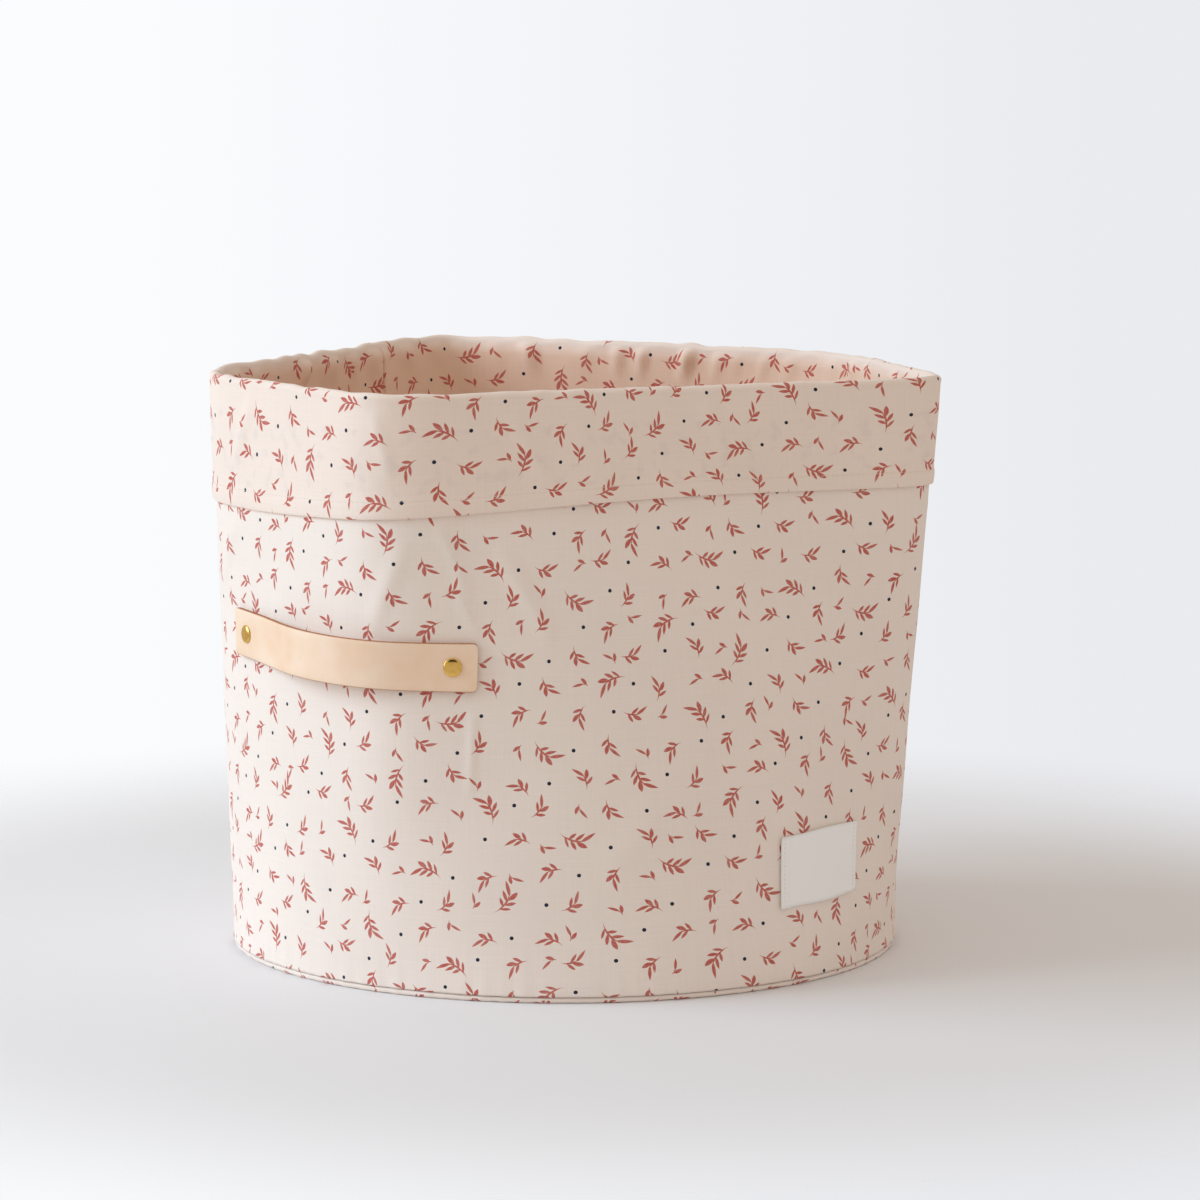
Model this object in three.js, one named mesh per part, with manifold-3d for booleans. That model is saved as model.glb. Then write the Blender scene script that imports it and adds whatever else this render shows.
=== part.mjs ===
// Fabric storage bin: printed cotton over a stiff round wall, with a folded-down cuff,
// a sewn side label and two leather pull handles held by brass rivets.
// Millimetres, +Z up. The origin is the centre of the base's underside, and the labelled front faces -Y.
// Angles round the bin are in degrees from the front, growing towards +X.
import * as THREE from 'three';
import { mergeVertices } from 'three/addons/utils/BufferGeometryUtils.js';
import Module from 'manifold-3d';

const wasm = await Module();
wasm.setup();

// Driving dimensions
const clearance = 0.3; // between pieces that touch
const wallGap = 0.6; // between the faceted wall and what lies against it
const baseRadius = 190; // outside of the wall where it stays round, at the base
const binHeight = 330; // floor to the fold of the rim
const roundBaseHeight = 8; // the base board holds the wall round up to here
const ringSegments = 72;
const wallSteps = 5;

const clothThickness = 1;
const wallBoard = 2;
const baseBoard = 3;
const rimFold = 2.7; // cloth and air over the top edge of the stiff wall

// The bin was packed flat, so its rim keeps a soft five-sided plan:
// the way each side faces, and how far out it stands.
const rimSides = [
  { facing: -28, distance: 135 },
  { facing: 62, distance: 186 },
  { facing: 107, distance: 161 },
  { facing: 194, distance: 173 },
  { facing: 259, distance: 187 },
];
const rimSharpness = 11; // how tightly the corners between the sides turn

const cuff = {
  mean: 63.6, swing: 5.5, deepestAt: -115, // it hangs lower on the left
  lift: 4, liftedAt: -32, // and rides up between the corners of the front
  thickness: 1.2, tuck: 12,
};
const hem = { height: 10, thickness: 1.1, threadAbove: 1.2, thread: 0.6 };
const seamRoll = { radius: 1.9, inset: 1.1, sides: 6 };

const handle = {
  length: 184.6, width: 26.5, thickness: 2.6, height: 184.3, droop: 5.5,
  tab: 22, joint: 55, rivetInset: 13.5, steps: 40,
};
const handleSides = [
  { name: 'left', centre: -89.8, rise: 9 },
  { name: 'right', centre: 88, rise: 12 },
];

const rivet = { post: 2, cap: 5.1, dome: 1.7, rim: 0.6, back: 5, backThickness: 1.6, socket: 1, sides: 16 };
const washer = { radius: 8, thickness: 1.2, standOff: 0.6 };

const label = {
  angle: 3, height: 63.6, width: 61, tall: 39.4, thickness: 0.7, steps: 12,
  lean: 0.12, tilt: 0.037, // sewn on a little askew
};
const labelThread = { inset: 2.5, size: 0.5, tall: 36 };

// Layers of the wall, as distances out from its printed face
const boardOuter = -clothThickness - clearance;
const boardInner = boardOuter - wallBoard;
const liningOuter = boardInner - clearance;
const liningInner = liningOuter - clothThickness;
const cuffOuter = clearance + cuff.thickness;
const hemOuter = cuffOuter + hem.thickness;

// Levels, from the floor up
const rollTop = 2 * seamRoll.radius + 0.2;
const wallBottom = rollTop + clearance;
const boardTop = clothThickness + clearance + baseBoard;
const wallTop = binHeight - rimFold;
const liningTop = binHeight - cuff.tuck;

const radians = THREE.MathUtils.degToRad;

function materialOf(color, roughness, metalness = 0) {
  return () => new THREE.MeshStandardMaterial({ color, roughness, metalness });
}
const printedCotton = materialOf(0xead9cd, 0.95);
const liningCotton = materialOf(0xe3cdbd, 0.95);
const fibreBoard = materialOf(0xd8d2c6, 0.9);
const vegetableLeather = materialOf(0xe2bf9f, 0.65);
const polishedBrass = materialOf(0xc9a24a, 0.3, 1);
const labelCloth = materialOf(0xe6e2db, 0.95);
const cottonThread = materialOf(0xe9ddd2, 0.9);

const bin = new THREE.Group();

function addMesh(name, geometry, material) {
  const mesh = new THREE.Mesh(geometry, material());
  mesh.name = name;
  bin.add(mesh);
  return mesh;
}

// The plan of the printed wall

function rimRadius(angle) {
  const sum = rimSides.reduce((total, side) => {
    const reach = Math.cos(angle - radians(side.facing)) / side.distance;
    return total + Math.max(0, reach) ** rimSharpness;
  }, 0);
  return sum ** (-1 / rimSharpness);
}

function wallRadius(angle, z) {
  const climb = THREE.MathUtils.clamp((z - roundBaseHeight) / (binHeight - roundBaseHeight), 0, 1);
  return THREE.MathUtils.lerp(baseRadius, rimRadius(angle), climb);
}

function wallPlan(angle, z) {
  const radius = wallRadius(angle, z);
  return new THREE.Vector3(radius * Math.sin(angle), -radius * Math.cos(angle), z);
}

function wallNormal(angle, z) {
  const reach = radians(1);
  const along = wallPlan(angle + reach, z).sub(wallPlan(angle - reach, z)).normalize();
  return new THREE.Vector3(along.y, -along.x, 0);
}

// Square to the wall, with its lean
function wallFacing(angle, z) {
  const along = wallPlan(angle + radians(1), z).sub(wallPlan(angle - radians(1), z));
  const up = wallPlan(angle, z + 1).sub(wallPlan(angle, z - 1));
  return along.cross(up).normalize();
}

function onWall(angle, z, out) {
  return wallPlan(angle, z).addScaledVector(wallNormal(angle, z), out);
}

// The angle reached by walking along the wall from a start angle, at one level
function walkAlongWall(start, distance, z) {
  const step = radians(0.25) * Math.sign(distance);
  let angle = start;
  let walked = 0;
  while (walked < Math.abs(distance)) {
    const stride = wallPlan(angle + step, z).distanceTo(wallPlan(angle, z));
    const share = Math.min(1, (Math.abs(distance) - walked) / stride);
    angle += step * share;
    walked += stride;
  }
  return angle;
}

function bend(geometry, place) {
  const position = geometry.attributes.position;
  const point = new THREE.Vector3();
  for (let i = 0; i < position.count; i += 1) {
    place(point.fromBufferAttribute(position, i));
    position.setXYZ(i, point.x, point.y, point.z);
  }
  geometry.computeVertexNormals();
  return geometry;
}

// Booleans

function toSolid(geometry) {
  const bare = geometry.clone();
  bare.deleteAttribute('normal');
  bare.deleteAttribute('uv');
  const merged = mergeVertices(bare, 1e-4);
  return new wasm.Manifold(new wasm.Mesh({
    numProp: 3,
    vertProperties: new Float32Array(merged.attributes.position.array),
    triVerts: new Uint32Array(merged.index.array),
  }));
}

function toGeometry(solid) {
  const mesh = solid.getMesh();
  const geometry = new THREE.BufferGeometry();
  geometry.setAttribute('position', new THREE.BufferAttribute(mesh.vertProperties, 3));
  geometry.setIndex(new THREE.BufferAttribute(mesh.triVerts, 1));
  return geometry;
}

function cutWith(geometry, cutters) {
  const solid = cutters.reduce((rest, cutter) => rest.subtract(toSolid(cutter)), toSolid(geometry));
  return toGeometry(solid);
}

// Splits the faces of the inner side along the same diagonal as the outer side,
// so that leaning layers stay parallel
function alignDiagonals(ring, profile) {
  const rows = profile.length - 1;
  for (let i = 0; i < ringSegments; i += 1) {
    for (let j = 0; j < rows; j += 1) {
      if (profile[j + 1].y < profile[j].y) {
        const lower = j + i * profile.length;
        const upper = lower + 1;
        const nextLower = lower + profile.length;
        const nextUpper = nextLower + 1;
        ring.index.array.set([lower, nextLower, nextUpper, lower, nextUpper, upper], (i * rows + j) * 6);
      }
    }
  }
  return ring;
}

// A band round the bin. The outline runs anticlockwise as [distance out from the printed face, level].
function wallRing(outline, settle = (angle, z) => z) {
  const profile = [...outline, outline[0]].map(([out, z]) => new THREE.Vector2(baseRadius + out, z));
  const ring = new THREE.LatheGeometry(profile, ringSegments).rotateX(Math.PI / 2);
  return bend(alignDiagonals(ring, profile), (point) => {
    const angle = Math.atan2(point.x, -point.y);
    const out = Math.hypot(point.x, point.y) - baseRadius;
    point.copy(onWall(angle, settle(angle, point.z), out));
  });
}

function levels(bottom, top) {
  const from = Math.max(bottom, roundBaseHeight);
  const list = bottom < roundBaseHeight ? [bottom] : [];
  for (let i = 0; i <= wallSteps; i += 1) {
    list.push(THREE.MathUtils.lerp(from, top, i / wallSteps));
  }
  return list;
}

function sheetRing(outer, inner, bottom, top) {
  const steps = levels(bottom, top);
  const outside = steps.map((z) => [outer, z]);
  const inside = steps.map((z) => [inner, z]).reverse();
  return wallRing([...outside, ...inside]);
}

function disc(radius, bottom, thickness) {
  return new THREE.CylinderGeometry(radius, radius, thickness, ringSegments)
    .rotateX(Math.PI / 2)
    .translate(0, 0, bottom + thickness / 2);
}

// The cuff's depth changes round the bin, so below the tuck its levels stretch by a share of it.
function cuffLevel(angle, z) {
  const depth = cuff.mean + cuff.swing * Math.cos(angle - radians(cuff.deepestAt))
    - cuff.lift * Math.cos(2 * (angle - radians(cuff.liftedAt)));
  const stretch = (depth - cuff.tuck) / (cuff.mean - cuff.tuck);
  const below = Math.max(0, liningTop - z);
  return z + below - below * stretch;
}

function makeCuff() {
  const bottom = binHeight - cuff.mean;
  const shoulder = 1.4;
  return wallRing([
    [clearance, bottom],
    [hemOuter, bottom],
    [hemOuter, bottom + hem.height],
    [cuffOuter, bottom + hem.height + 0.4],
    [cuffOuter, liningTop],
    [cuffOuter, binHeight - shoulder],
    [cuffOuter - shoulder, binHeight],
    [liningInner + shoulder, binHeight],
    [liningInner, binHeight - shoulder],
    [liningInner, liningTop],
    [liningOuter, liningTop],
    [liningOuter, wallTop + clearance],
    [clearance, wallTop + clearance],
    [clearance, liningTop],
  ], cuffLevel);
}

function makeHemThread() {
  const bottom = binHeight - cuff.mean + hem.height - hem.threadAbove;
  const out = hemOuter + clearance;
  return wallRing([
    [out, bottom],
    [out + hem.thread, bottom],
    [out + hem.thread, bottom + hem.thread],
    [out, bottom + hem.thread],
  ], cuffLevel);
}

function makeSeamRoll() {
  const outline = [];
  for (let i = 0; i < seamRoll.sides; i += 1) {
    const turn = (i + 0.5) / seamRoll.sides * 2 * Math.PI;
    outline.push([
      seamRoll.radius * Math.cos(turn) - seamRoll.inset,
      seamRoll.radius * Math.sin(turn) + rollTop - seamRoll.radius,
    ]);
  }
  return wallRing(outline);
}

// Handles

function handleStandOff(side, along) {
  const reach = handle.length / 2 - handle.tab;
  const share = Math.min(1, Math.abs(along) / reach);
  return wallGap + side.rise * 0.5 * (1 + Math.cos(Math.PI * share));
}

function handleLevel(along) {
  return handle.height - handle.droop * along / handle.length;
}

function onHandle(side, along, out, up) {
  const angle = walkAlongWall(radians(side.centre), along, handle.height);
  return onWall(angle, handleLevel(along) + up, handleStandOff(side, along) + out);
}

function makeStrap(side) {
  const strip = new THREE.BoxGeometry(handle.length, handle.width, handle.thickness, handle.steps, 1, 1);
  return bend(strip, (point) => {
    point.copy(onHandle(side, point.x, point.z + handle.thickness / 2, point.y));
  });
}

function towardsFront(angle) {
  return Math.cos(angle) > 0;
}

function rivetsOf(side) {
  const along = handle.length / 2 - handle.rivetInset;
  return [-along, along].map((place) => {
    const level = handleLevel(place);
    const angle = walkAlongWall(radians(side.centre), place, handle.height);
    return {
      name: `${side.name}_${towardsFront(angle) ? 'front' : 'rear'}_rivet`,
      point: wallPlan(angle, level),
      turn: new THREE.Quaternion().setFromUnitVectors(new THREE.Vector3(0, 1, 0), wallFacing(angle, level)),
    };
  });
}

function boreFor(place) {
  const length = 60;
  return new THREE.CylinderGeometry(rivet.post + clearance, rivet.post + clearance, length, 16)
    .applyQuaternion(place.turn)
    .translate(place.point.x, place.point.y, place.point.z);
}

// One strap of leather, cut across in two places so that the part between them can pull away from the wall
function addHandle(side) {
  const places = rivetsOf(side);
  const strap = toSolid(cutWith(makeStrap(side), places.map(boreFor)));
  const middle = onHandle(side, 0, 0, 0);
  const slice = (from, to) => toSolid(
    new THREE.BoxGeometry(200, to - from, 200).translate(middle.x, middle.y + (from + to) / 2, middle.z),
  );
  const edge = handle.joint;
  const far = 2 * handle.length;
  const zones = {
    strap_grip: slice(-edge, edge),
    strap_rear_tab: slice(edge + clearance, far),
    strap_front_tab: slice(-far, -edge - clearance),
  };
  for (const [name, zone] of Object.entries(zones)) {
    addMesh(`${side.name}_${name}`, toGeometry(strap.intersect(zone)), vegetableLeather);
  }
  return places;
}

function lathe(points, place, out) {
  const profile = points.map(([radius, along]) => new THREE.Vector2(radius, along + out));
  return new THREE.LatheGeometry(profile, rivet.sides)
    .applyQuaternion(place.turn)
    .translate(place.point.x, place.point.y, place.point.z);
}

function addRivet(place) {
  const seat = wallGap + handle.thickness + clearance; // outer face of the strap
  const inside = liningInner - washer.standOff - washer.thickness; // inner face of the washer
  const backTop = inside - clearance;
  const postEnd = backTop - rivet.socket + clearance;
  addMesh(`${place.name}_cap`, lathe([
    [0, postEnd],
    [rivet.post, postEnd],
    [rivet.post, seat],
    [rivet.cap, seat],
    [rivet.cap, seat + rivet.rim],
    [rivet.cap * 0.84, seat + rivet.dome * 0.72],
    [rivet.cap * 0.5, seat + rivet.dome * 0.94],
    [0, seat + rivet.dome],
  ], place, 0), polishedBrass);
  addMesh(`${place.name}_washer`, lathe([
    [rivet.post + clearance, 0],
    [washer.radius, 0],
    [washer.radius, washer.thickness],
    [rivet.post + clearance, washer.thickness],
    [rivet.post + clearance, 0],
  ], place, inside), vegetableLeather);
  addMesh(`${place.name}_back`, lathe([
    [0, -rivet.backThickness],
    [rivet.back * 0.7, -rivet.backThickness],
    [rivet.back, -rivet.backThickness * 0.6],
    [rivet.back, 0],
    [rivet.post + clearance, 0],
    [rivet.post + clearance, -rivet.socket],
    [0, -rivet.socket],
  ], place, backTop), polishedBrass);
}

// The side label and its two rows of stitches

function patchOnWall(width, tall, thickness, along, out, steps) {
  const patch = new THREE.BoxGeometry(width, tall, thickness, steps, 1, 1);
  return bend(patch, (point) => {
    const across = point.x + along;
    const angle = walkAlongWall(radians(label.angle), across + label.lean * point.y, label.height);
    point.copy(onWall(angle, label.height + point.y + label.tilt * across, out + point.z + thickness / 2));
  });
}

function addLabel() {
  const tag = patchOnWall(label.width, label.tall, label.thickness, 0, wallGap, label.steps);
  addMesh('side_label', tag, labelCloth);
  const out = wallGap + label.thickness + clearance;
  for (const [name, side] of [['left', -1], ['right', 1]]) {
    const along = side * (label.width / 2 - labelThread.inset);
    const thread = patchOnWall(labelThread.size, labelThread.tall, labelThread.size, along, out, 1);
    addMesh(`side_label_${name}_stitching`, thread, cottonThread);
  }
}

// The bin, from the handles and their holes to the layers that they pass through

const rivetPlaces = handleSides.flatMap(addHandle);
const bores = rivetPlaces.map(boreFor);
rivetPlaces.forEach(addRivet);

const rollInner = baseRadius - seamRoll.inset - seamRoll.radius;
addMesh('outer_base', disc(rollInner - clearance, 0, clothThickness), printedCotton);
addMesh('base_seam_roll', makeSeamRoll(), printedCotton);
const boardRadius = baseRadius + liningOuter - clearance;
addMesh('base_board', disc(boardRadius, clothThickness + clearance, baseBoard), fibreBoard);
const liningRadius = baseRadius + liningInner - clearance;
addMesh('lining_base', disc(liningRadius, boardTop + clearance, clothThickness), liningCotton);

const layer = (outer, inner, bottom, top) => cutWith(sheetRing(outer, inner, bottom, top), bores);
addMesh('outer_wall', layer(0, -clothThickness, wallBottom, wallTop), printedCotton);
addMesh('wall_stiffener', layer(boardOuter, boardInner, wallBottom, wallTop), fibreBoard);
const liningBottom = boardTop + clearance;
addMesh('lining_wall', layer(liningOuter, liningInner, liningBottom, liningTop - clearance), liningCotton);
addMesh('cuff', makeCuff(), printedCotton);
addMesh('cuff_hem_stitching', makeHemThread(), cottonThread);
addLabel();

export default bin;
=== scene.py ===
import math

import bmesh
import bpy
import numpy as np
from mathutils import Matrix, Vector


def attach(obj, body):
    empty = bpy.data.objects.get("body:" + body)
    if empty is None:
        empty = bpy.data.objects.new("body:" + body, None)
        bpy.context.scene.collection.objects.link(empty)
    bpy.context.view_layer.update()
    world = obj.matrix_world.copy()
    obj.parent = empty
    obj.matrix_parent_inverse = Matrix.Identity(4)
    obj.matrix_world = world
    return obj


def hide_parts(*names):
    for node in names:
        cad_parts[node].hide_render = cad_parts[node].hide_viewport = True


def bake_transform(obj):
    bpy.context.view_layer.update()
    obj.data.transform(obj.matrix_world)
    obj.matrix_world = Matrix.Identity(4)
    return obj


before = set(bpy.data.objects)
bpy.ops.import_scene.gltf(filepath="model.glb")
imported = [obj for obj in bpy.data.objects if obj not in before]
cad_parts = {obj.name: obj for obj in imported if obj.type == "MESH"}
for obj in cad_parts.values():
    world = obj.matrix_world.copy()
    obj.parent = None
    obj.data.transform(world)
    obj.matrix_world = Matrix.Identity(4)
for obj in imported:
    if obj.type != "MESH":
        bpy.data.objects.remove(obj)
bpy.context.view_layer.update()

# Fabric storage bin: printed cotton over a stiff wall, a folded-down cuff, a sewn label,
# and two leather pull handles held by brass rivets. Metres, +Z up, the labelled front faces -Y.
# Angles run in degrees from the front and grow towards +X.

scene = bpy.context.scene
scene.view_settings.view_transform = "Standard"


# Small tools

def sRgb(hexColour):
    channels = [int(hexColour[i:i + 2], 16) / 255 for i in (1, 3, 5)]
    linear = [c / 12.92 if c <= 0.04045 else ((c + 0.055) / 1.055) ** 2.4 for c in channels]
    return (*linear, 1.0)


# Adds a node, with its settings and what feeds it: a node, a socket or a plain value
def addNode(tree, kind, inputs=(), **settings):
    node = tree.nodes.new(kind)
    for name, value in settings.items():
        setattr(node, name, value)
    pairs = inputs.items() if isinstance(inputs, dict) else enumerate(inputs)
    for key, value in pairs:
        if isinstance(value, bpy.types.Node):
            value = value.outputs[0]
        if isinstance(value, bpy.types.NodeSocket):
            tree.links.new(value, node.inputs[key])
        else:
            node.inputs[key].default_value = value
    return node


def newMaterial(name):
    material = bpy.data.materials.new(name)
    material.use_nodes = True
    tree = material.node_tree
    shader = tree.nodes["Principled BSDF"]
    return material, tree, shader


# Gives the shader its colour, and a relief and a roughness that follow patterns
def dress(tree, shader, colour, relief, strength, depth, pattern, smoothest, roughest, span=(0, 1)):
    bump = addNode(tree, "ShaderNodeBump", {"Strength": strength, "Distance": depth, "Height": relief})
    rough = addNode(tree, "ShaderNodeMapRange", {
        "Value": pattern, "From Min": span[0], "From Max": span[1], "To Min": smoothest, "To Max": roughest,
    })
    tree.links.new(colour.outputs[2], shader.inputs["Base Color"])
    tree.links.new(bump.outputs[0], shader.inputs["Normal"])
    tree.links.new(rough.outputs[0], shader.inputs["Roughness"])


def newGroup(name, kind, inputs, outputs):
    group = bpy.data.node_groups.new(name, kind)
    for label, socketType in inputs:
        group.interface.new_socket(label, in_out="INPUT", socket_type=socketType)
    for label, socketType in outputs:
        group.interface.new_socket(label, in_out="OUTPUT", socket_type=socketType)
    return group


def toPiece(name, mesh, *materials):
    piece = bpy.data.objects.new(name, mesh)
    scene.collection.objects.link(piece)
    for material in materials:
        mesh.materials.append(material)
    return piece


# Turns the result of the live modifiers into the piece's own plain mesh
def settle(piece):
    bpy.context.view_layer.update()
    evaluated = piece.evaluated_get(bpy.context.evaluated_depsgraph_get())
    mesh = bpy.data.meshes.new_from_object(evaluated)
    piece.modifiers.clear()
    piece.data = mesh
    return piece


# A sheet of quads. points is columns x rows x 3, and cut has where each point lay in the flat cloth.
def sheetMesh(name, points, cut, closed=True):
    columns, rows = points.shape[:2]
    last = columns if closed else columns - 1
    i, j = np.meshgrid(np.arange(last), np.arange(rows - 1), indexing="ij")
    i, j = i.ravel(), j.ravel()
    corners = [(i, j), (i + 1, j), (i + 1, j + 1), (i, j + 1)]
    faces = np.stack([(a % columns) * rows + b for a, b in corners], axis=1)
    mesh = bpy.data.meshes.new(name)
    mesh.from_pydata(points.reshape(-1, 3).tolist(), [], faces.tolist())
    flat = np.stack([cut[a, b] for a, b in corners], axis=1)
    layer = mesh.uv_layers.new(name="cloth")
    layer.data.foreach_set("uv", flat.reshape(-1).astype(np.float32))
    mesh.shade_smooth()
    return mesh


# Turns every face of a closed mesh outwards
def faceOut(mesh, merge=0):
    bm = bmesh.new()
    bm.from_mesh(mesh)
    if merge:
        bmesh.ops.remove_doubles(bm, verts=bm.verts, dist=merge)
    bmesh.ops.recalc_face_normals(bm, faces=bm.faces)
    bm.to_mesh(mesh)
    bm.free()
    mesh.shade_smooth()
    return mesh


# Camera

cameraSet = {
    "azimuth": -47, "distance": 3.012, "height": 0.608,
    "tiltDown": 7.8, "lens": 158.9, "shift": 0.030,
}

turn = math.radians(cameraSet["azimuth"])
cameraData = bpy.data.cameras.new("camera")
cameraData.sensor_width = 36
cameraData.lens = cameraSet["lens"]
cameraData.shift_x = cameraSet["shift"]
cameraData.clip_end = 100
camera = bpy.data.objects.new("camera", cameraData)
scene.collection.objects.link(camera)
camera.location = (
    cameraSet["distance"] * math.sin(turn),
    -cameraSet["distance"] * math.cos(turn),
    cameraSet["height"],
)
camera.rotation_euler = (math.radians(90 - cameraSet["tiltDown"]), 0, turn)
scene.camera = camera


# The plan of the printed wall, the same as in the CAD

wall = {
    "baseRadius": 0.190,
    "height": 0.330,
    "roundUpTo": 0.008,
    "sides": [(-28, 0.135), (62, 0.186), (107, 0.161), (194, 0.173), (259, 0.187)],
    "sharpness": 11,
}
outside = {"cuff": 0.0014, "liningInner": -0.0046}  # distances out from the printed face


def rimRadius(angle):
    total = 0
    for facing, distance in wall["sides"]:
        reach = np.maximum(0, np.cos(angle - math.radians(facing))) / distance
        total = total + reach ** wall["sharpness"]
    return total ** (-1 / wall["sharpness"])


def wallPlan(angle, z):
    climb = np.clip((z - wall["roundUpTo"]) / (wall["height"] - wall["roundUpTo"]), 0, 1)
    radius = wall["baseRadius"] + (rimRadius(angle) - wall["baseRadius"]) * climb
    return np.stack([radius * np.sin(angle), -radius * np.cos(angle), z + 0 * radius], axis=-1)


def wallNormal(angle, z):
    reach = math.radians(1)
    along = wallPlan(angle + reach, z) - wallPlan(angle - reach, z)
    normal = np.stack([along[..., 1], -along[..., 0], 0 * along[..., 0]], axis=-1)
    return normal / np.linalg.norm(normal, axis=-1, keepdims=True)


def wallFacing(angle, z):
    along = wallPlan(angle + math.radians(1), z) - wallPlan(angle - math.radians(1), z)
    up = wallPlan(angle, z + 0.001) - wallPlan(angle, z - 0.001)
    facing = np.cross(along, up)
    return facing / np.linalg.norm(facing, axis=-1, keepdims=True)


def onWall(angle, z, out):
    return wallPlan(angle, z) + wallNormal(angle, z) * np.asarray(out)[..., None]


# The angle reached by walking along the wall from a start angle, at one level
def walkAlongWall(start, distance, z):
    angles = np.linspace(start - math.pi / 2, start + math.pi / 2, 1441)
    strides = np.linalg.norm(np.diff(wallPlan(angles, z), axis=0), axis=1)
    walked = np.concatenate([[0], np.cumsum(strides)])
    walked -= np.interp(start, angles, walked)
    return np.interp(distance, walked, angles)


# How far round the cloth lies each angle, measured half way up
fullTurn = np.radians(np.linspace(-360, 360, 2881))
turnStrides = np.linalg.norm(np.diff(wallPlan(fullTurn, np.float64(0.165)), axis=0), axis=1)
turnLength = np.concatenate([[0], np.cumsum(turnStrides)])
turnLength -= turnLength[len(turnLength) // 2]


def alongCloth(angle):
    return np.interp(angle, fullTurn, turnLength)


# Straps and rivets: where they sit

handle = {
    "length": 0.1846, "width": 0.0265, "thickness": 0.0026, "height": 0.1843, "droop": 0.0055,
    "tab": 0.022, "rivetInset": 0.0135, "gap": 0.0006,
    "cornerRadius": 0.0026, "edgeRound": 0.0006,
    "dent": 0.00035, "dentReach": 0.0062,
}
handleSides = {"left": {"centre": -89.8, "rise": 0.009}, "right": {"centre": 88, "rise": 0.012}}


def handleStandOff(side, along):
    reach = handle["length"] / 2 - handle["tab"]
    share = np.minimum(1, np.abs(along) / reach)
    return handle["gap"] + side["rise"] * 0.5 * (1 + np.cos(math.pi * share))


def handleLevel(along):
    return handle["height"] - handle["droop"] * along / handle["length"]


rivetPlaces = []
for side in handleSides.values():
    reach = handle["length"] / 2 - handle["rivetInset"]
    for along in (-reach, reach):
        angle = float(walkAlongWall(math.radians(side["centre"]), along, np.float64(handle["height"])))
        rivetPlaces.append((angle, handleLevel(along)))


# How the cloth lies on the board

cloth = {
    "thickness": 0.0007,
    "columns": 480,
    "seed": 11,               # the order of random draws follows the wave lists below
    "swell": 0.0006,          # broad swells where the cloth is loose on the board
    "cuffSwell": 0.0003,
    "pinnedReach": 0.026,     # round each rivet the strap holds the cloth down
    "basePucker": 0.0004,
    "crease": 1.5,            # how much stronger than listed the creases are drawn
    "rimWave": 0.0011,
    "rimPucker": 0.0046,
    "cuffFlare": 0.0003,
    "liningSeam": 170.5,      # degrees, as is the next
    "wallSeam": 141,
}
# Creases in the wall: degrees and height at each end, half width, and how far they stand up
creases = [
    (-69.5, 0.262, -64.0, 0.222, 0.0024, 0.0010),
    (-66.5, 0.228, -62.0, 0.197, 0.0020, 0.0012),
    (-59.5, 0.246, -49.0, 0.196, 0.0050, 0.0014),
    (-63.0, 0.160, -63.4, 0.112, 0.0018, 0.0009),
    (-74.0, 0.250, -80.0, 0.200, 0.0055, 0.0010),
    (-18.0, 0.205, -4.0, 0.232, 0.0085, 0.0008),
    (24.0, 0.250, 19.0, 0.190, 0.0050, 0.0008),
    (20.0, 0.120, 27.0, 0.075, 0.0060, 0.0008),
    (-118.0, 0.250, -126.0, 0.205, 0.0060, 0.0009),
    (-152.0, 0.236, -147.0, 0.150, 0.0040, 0.0009),
    (176.0, 0.250, 184.0, 0.200, 0.0060, 0.0010),
    (128.0, 0.160, 122.0, 0.090, 0.0055, 0.0009),
    (62.0, 0.090, 74.0, 0.125, 0.0065, 0.0008),
    (-98.0, 0.075, -90.0, 0.052, 0.0065, 0.0007),
    (-40.0, 0.070, -30.0, 0.098, 0.0085, 0.0007),
]
cuffCreases = [
    (-58.0, 0.318, -50.0, 0.280, 0.0050, 0.0008),
    (-79.0, 0.320, -76.0, 0.285, 0.0035, 0.0008),
    (-14.0, 0.322, -9.0, 0.286, 0.0055, 0.0007),
    (16.0, 0.318, 12.0, 0.290, 0.0045, 0.0007),
    (-112.0, 0.318, -118.0, 0.280, 0.0050, 0.0008),
    (88.0, 0.318, 94.0, 0.286, 0.0050, 0.0008),
    (170.0, 0.318, 163.0, 0.284, 0.0050, 0.0009),
]

random = np.random.default_rng(cloth["seed"])


def waves(counts, leanSpread):
    return [(k, random.uniform(0, 2 * math.pi), random.uniform(-leanSpread, leanSpread)) for k in counts]


wallWaves = waves((3, 5, 7, 9, 12), 13)
cuffWaves = waves((4, 7, 11, 16), 10)
rimWaves = waves((7, 13, 22, 37, 51), 0)
puckerWaves = waves((31, 43, 62), 0)
patchWaves = waves((5, 8, 13), 0)
baseWaves = waves((67, 97, 113), 0)


def sumWaves(parts, angle, z=0):
    return sum(np.cos(k * angle + phase + lean * z) for k, phase, lean in parts) / len(parts)


def creaseRelief(lines, angle, z):
    total = 0 * angle
    s = alongCloth(angle)
    for a0, z0, a1, z1, width, height in lines:
        s0, s1 = alongCloth(math.radians(a0)), alongCloth(math.radians(a1))
        share = ((s - s0) * (s1 - s0) + (z - z0) * (z1 - z0)) / ((s1 - s0) ** 2 + (z1 - z0) ** 2)
        share = np.clip(share, 0, 1)
        gap = np.hypot(s - s0 - share * (s1 - s0), z - z0 - share * (z1 - z0))
        fade = np.sqrt(np.clip(4 * share * (1 - share), 0, 1))
        total = total + cloth["crease"] * height * fade * np.exp(-((gap / width) ** 2))
    return total


def pinned(angle, z):
    free = 1 + 0 * angle
    for rivetAngle, level in rivetPlaces:
        gap = np.hypot(alongCloth(angle) - alongCloth(rivetAngle), z - level)
        free = free * (1 - np.exp(-((gap / cloth["pinnedReach"]) ** 4)))
    return free


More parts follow.
